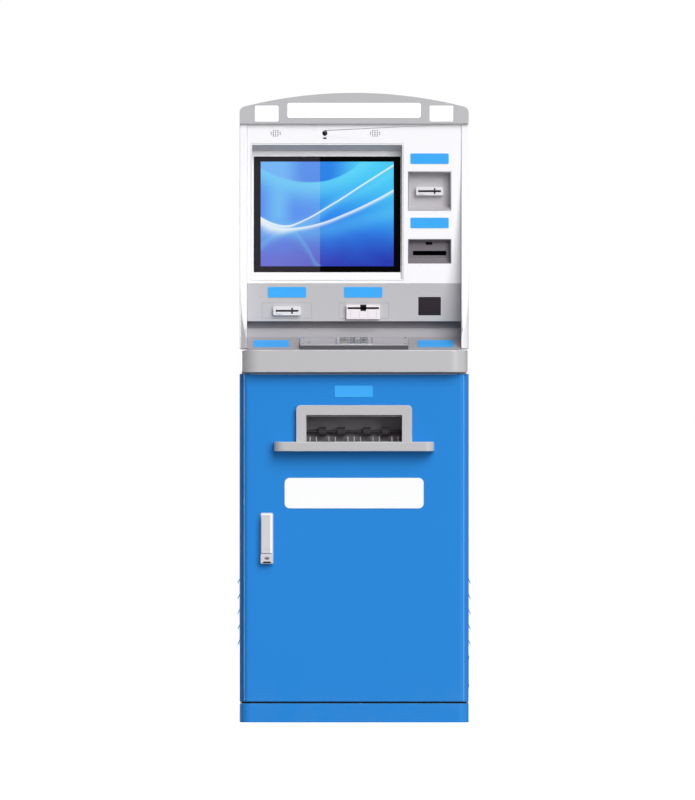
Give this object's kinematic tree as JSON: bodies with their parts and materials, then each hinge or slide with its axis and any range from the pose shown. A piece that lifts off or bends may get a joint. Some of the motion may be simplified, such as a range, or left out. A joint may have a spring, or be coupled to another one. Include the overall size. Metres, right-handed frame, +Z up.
{
  "type": "bank self-service terminal",
  "caption": "Free-standing bank self-service terminal: blue steel cabinet with a grey and white console, touch screen, keypad, card, banknote, receipt and A4 paper slots.",
  "frame": {"origin": "on the floor under the middle of the cabinet's bounding box", "axes": "+Z up; the customer stands on the -Y side; +X to the customer's right"},
  "size_m": [0.598, 0.6, 1.6097],
  "materials": {
    "blue_paint": "satin powder coat",
    "side_blue_paint": "satin powder coat",
    "frame_steel": "dark grey primer",
    "foot_steel": "zinc plated",
    "grey_paint": "satin light grey",
    "desk_grey": "satin mid grey",
    "white_paint": "satin white",
    "surround_white": "moulded, fine texture",
    "glass_black": "polished",
    "module_black": "moulded",
    "module_grey": "zinc and grey sheet",
    "printer_white": "moulded housing",
    "light_panel": "opal, backlit",
    "label_blue": "printed film",
    "sign_white": "printed film",
    "chrome": "polished plating",
    "receipt_white": "moulded",
    "outlet_grey": "moulded",
    "key_metal": "brushed",
    "roller_rubber": "matte",
    "lock_steel": "zinc plated"
  },
  "bodies": {
    "root": {"plinth_skirt": "blue_paint", "base_plate": "frame_steel", "levelling_feet": "foot_steel", "corner_frame": "frame_steel", "left_side_panel": "side_blue_paint", "right_side_panel": "side_blue_paint", "inlet_cover": "side_blue_paint", "deck_plate": "frame_steel", "waist_belt": "grey_paint", "desk_top": "desk_grey", "keypad_base": "module_black", "keypad_plate": "key_metal", "left_cheek": "white_paint", "right_cheek": "white_paint", "rear_hood": "white_paint", "upper_fascia": "white_paint", "lower_fascia": "grey_paint", "screen_surround": "surround_white", "touch_glass": "glass_black", "lcd_module": "module_grey", "crown_header": "grey_paint", "crown_panels": "light_panel", "function_labels": "label_blue", "speakers": "module_black", "camera": "module_black", "card_recess": "grey_paint", "card_bezel": "chrome", "card_reader": "module_grey", "note_acceptor": "module_black", "id_reader": "chrome", "receipt_bezel": "receipt_white", "receipt_printer": "module_grey", "scanner_window": "glass_black", "control_pc": "module_grey", "fan_frame": "module_black", "statement_printer": "printer_white"},
    "front_door": {"front_door": "blue_paint", "door_plates": "sign_white", "outlet_bezel": "outlet_grey", "outlet_shelf": "grey_paint", "handle_base": "chrome"},
    "eject_rollers": {"eject_rollers": "roller_rubber"},
    "lock_cam": {"lock_cam": "lock_steel"},
    "handle_lever": {"handle_lever": "chrome"},
    "upper_lock_rod": {"upper_lock_rod": "lock_steel"},
    "lower_lock_rod": {"lower_lock_rod": "lock_steel"},
    "rear_door": {"rear_door": "side_blue_paint"},
    "fan_rotor": {"fan_rotor": "module_black"},
    "key_1": {"key_1": "key_metal"},
    "key_2": {"key_2": "key_metal"},
    "key_3": {"key_3": "key_metal"},
    "key_4": {"key_4": "key_metal"},
    "key_5": {"key_5": "key_metal"},
    "key_6": {"key_6": "key_metal"},
    "key_7": {"key_7": "key_metal"},
    "key_8": {"key_8": "key_metal"},
    "key_9": {"key_9": "key_metal"},
    "key_clear": {"key_clear": "key_metal"},
    "key_0": {"key_0": "key_metal"},
    "key_enter": {"key_enter": "key_metal"}
  },
  "joints": [
    {"name": "front_door_hinge", "type": "hinge", "parent": "root", "child": "front_door", "pos_m": [0.272, -0.254, 0.0528], "axis": [0, 0, 1], "range_deg": [0, 110]},
    {"name": "handle_turn", "type": "hinge", "parent": "front_door", "child": "lock_cam", "pos_m": [-0.2228, -0.262, 0.52], "axis": [0, -1, 0], "range_deg": [0, 90]},
    {"name": "handle_lift", "type": "hinge", "parent": "lock_cam", "child": "handle_lever", "pos_m": [-0.2228, -0.271, 0.52], "axis": [-1, 0, 0], "range_deg": [0, 40]},
    {"name": "upper_rod_slide", "type": "slide", "parent": "front_door", "child": "upper_lock_rod", "axis": [0, 0, -1], "range_m": [0, 0.0198]},
    {"name": "lower_rod_slide", "type": "slide", "parent": "front_door", "child": "lower_lock_rod", "axis": [0, 0, 1], "range_m": [0, 0.0198]},
    {"name": "eject_roller_spin", "type": "hinge", "parent": "front_door", "child": "eject_rollers", "pos_m": [0, -0.218, 0.7434], "axis": [1, 0, 0], "continuous": true},
    {"name": "rear_door_hinge", "type": "hinge", "parent": "root", "child": "rear_door", "pos_m": [0.287, 0.294, 0.0528], "axis": [0, 0, -1], "range_deg": [0, 110]},
    {"name": "fan_spin", "type": "hinge", "parent": "root", "child": "fan_rotor", "pos_m": [-0.278, 0.03, 0.2749], "axis": [1, 0, 0], "continuous": true},
    {"name": "key_1_press", "type": "slide", "parent": "root", "child": "key_1", "axis": [0, 0.2014, -0.9795], "range_m": [0, 0.002], "stiffness_N_per_m": 1500, "springref_m": -0.0005},
    {"name": "key_2_press", "type": "slide", "parent": "root", "child": "key_2", "axis": [0, 0.2014, -0.9795], "range_m": [0, 0.002], "stiffness_N_per_m": 1500, "springref_m": -0.0005},
    {"name": "key_3_press", "type": "slide", "parent": "root", "child": "key_3", "axis": [0, 0.2014, -0.9795], "range_m": [0, 0.002], "stiffness_N_per_m": 1500, "springref_m": -0.0005},
    {"name": "key_4_press", "type": "slide", "parent": "root", "child": "key_4", "axis": [0, 0.2014, -0.9795], "range_m": [0, 0.002], "stiffness_N_per_m": 1500, "springref_m": -0.0005},
    {"name": "key_5_press", "type": "slide", "parent": "root", "child": "key_5", "axis": [0, 0.2014, -0.9795], "range_m": [0, 0.002], "stiffness_N_per_m": 1500, "springref_m": -0.0005},
    {"name": "key_6_press", "type": "slide", "parent": "root", "child": "key_6", "axis": [0, 0.2014, -0.9795], "range_m": [0, 0.002], "stiffness_N_per_m": 1500, "springref_m": -0.0005},
    {"name": "key_7_press", "type": "slide", "parent": "root", "child": "key_7", "axis": [0, 0.2014, -0.9795], "range_m": [0, 0.002], "stiffness_N_per_m": 1500, "springref_m": -0.0005},
    {"name": "key_8_press", "type": "slide", "parent": "root", "child": "key_8", "axis": [0, 0.2014, -0.9795], "range_m": [0, 0.002], "stiffness_N_per_m": 1500, "springref_m": -0.0005},
    {"name": "key_9_press", "type": "slide", "parent": "root", "child": "key_9", "axis": [0, 0.2014, -0.9795], "range_m": [0, 0.002], "stiffness_N_per_m": 1500, "springref_m": -0.0005},
    {"name": "key_clear_press", "type": "slide", "parent": "root", "child": "key_clear", "axis": [0, 0.2014, -0.9795], "range_m": [0, 0.002], "stiffness_N_per_m": 1500, "springref_m": -0.0005},
    {"name": "key_0_press", "type": "slide", "parent": "root", "child": "key_0", "axis": [0, 0.2014, -0.9795], "range_m": [0, 0.002], "stiffness_N_per_m": 1500, "springref_m": -0.0005},
    {"name": "key_enter_press", "type": "slide", "parent": "root", "child": "key_enter", "axis": [0, 0.2014, -0.9795], "range_m": [0, 0.002], "stiffness_N_per_m": 1500, "springref_m": -0.0005}
  ],
  "couplings": [
    {"joint": "upper_rod_slide", "follows": "handle_turn", "m_per_rad": 0.0126},
    {"joint": "lower_rod_slide", "follows": "handle_turn", "m_per_rad": 0.0126}
  ]
}
